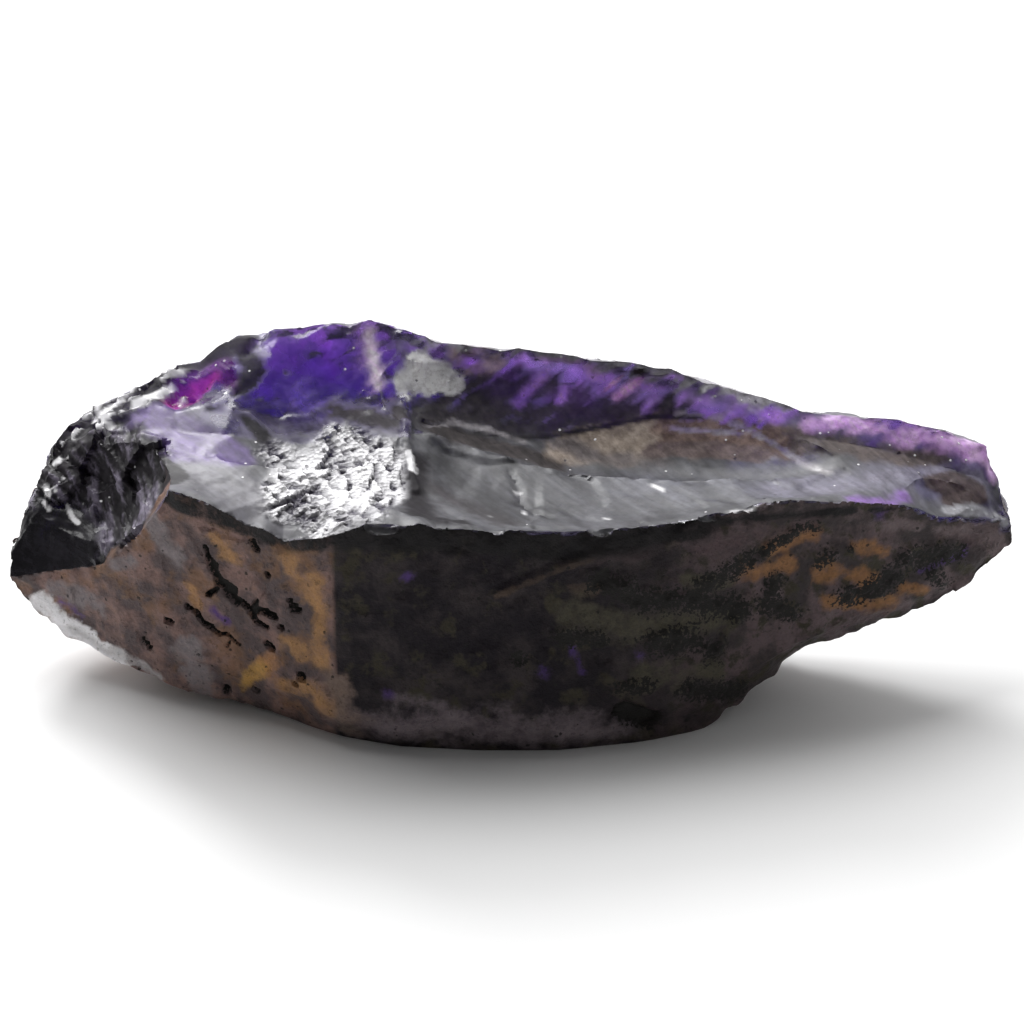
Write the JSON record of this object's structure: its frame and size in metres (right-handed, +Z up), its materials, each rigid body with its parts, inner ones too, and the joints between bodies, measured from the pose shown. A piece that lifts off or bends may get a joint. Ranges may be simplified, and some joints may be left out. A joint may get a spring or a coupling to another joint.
{
  "type": "rough sapphire",
  "caption": "Long broken piece of dark purple crystal, glassy and scooped by flake scars on top, weathered brown on its sides, lying on a flat sole.",
  "frame": {"origin": "middle of the piece's box, on the surface that it lies on", "axes": "+X along the piece towards its thin end, -Y towards the weathered face that is seen first, +Z up"},
  "size_m": [0.0608, 0.0198, 0.0195],
  "materials": {
    "crystal": "glossy on the broken top, rough brown weathered skin on the sides"
  },
  "bodies": {
    "root": {"crystal": "crystal"}
  },
  "joints": []
}
